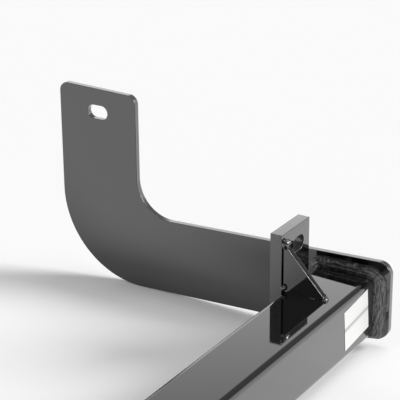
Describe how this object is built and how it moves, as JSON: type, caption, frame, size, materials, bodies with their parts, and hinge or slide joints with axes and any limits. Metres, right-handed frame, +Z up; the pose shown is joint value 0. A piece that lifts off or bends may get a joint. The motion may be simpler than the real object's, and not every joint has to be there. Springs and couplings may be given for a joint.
{
  "type": "trailer hitch",
  "caption": "Rear-mounted receiver hitch: a square cross tube welded between L-shaped side plates, with a collared square socket, a plate for safety chains and a removable bent pin.",
  "frame": {"origin": "middle of the receiver socket's open mouth, at the rear face of the collar", "axes": "+X to the vehicle's right along the cross tube, +Y forwards along the receiver, +Z up"},
  "size_m": [1.0288, 0.5928, 0.2176],
  "materials": {
    "black_paint": "gloss black powder coat on steel",
    "weld_paint": "gloss black powder coat over a rippled weld bead",
    "label_film": "bare white film",
    "zinc_steel": "bright zinc plate"
  },
  "bodies": {
    "hitch": {"cross_tube": "black_paint", "right_side_plate": "black_paint", "left_side_plate": "black_paint", "right_end_weld": "weld_paint", "left_end_weld": "weld_paint", "right_upright_tab": "black_paint", "left_upright_tab": "black_paint", "right_tab_weld": "weld_paint", "left_tab_weld": "weld_paint", "right_gusset": "black_paint", "left_gusset": "black_paint", "right_gusset_weld": "weld_paint", "left_gusset_weld": "weld_paint", "receiver_tube": "black_paint", "receiver_weld": "weld_paint", "receiver_collar": "black_paint", "collar_weld": "weld_paint", "joint_plate": "black_paint", "joint_plate_weld": "weld_paint", "chain_plate": "black_paint", "chain_plate_weld": "weld_paint", "rating_label": "label_film"},
    "pin": {"hitch_pin": "zinc_steel"}
  },
  "joints": [
    {"name": "pin_slide", "type": "slide", "parent": "hitch", "child": "pin", "axis": [1, 0, 0], "range_m": [0, 0.09]}
  ]
}
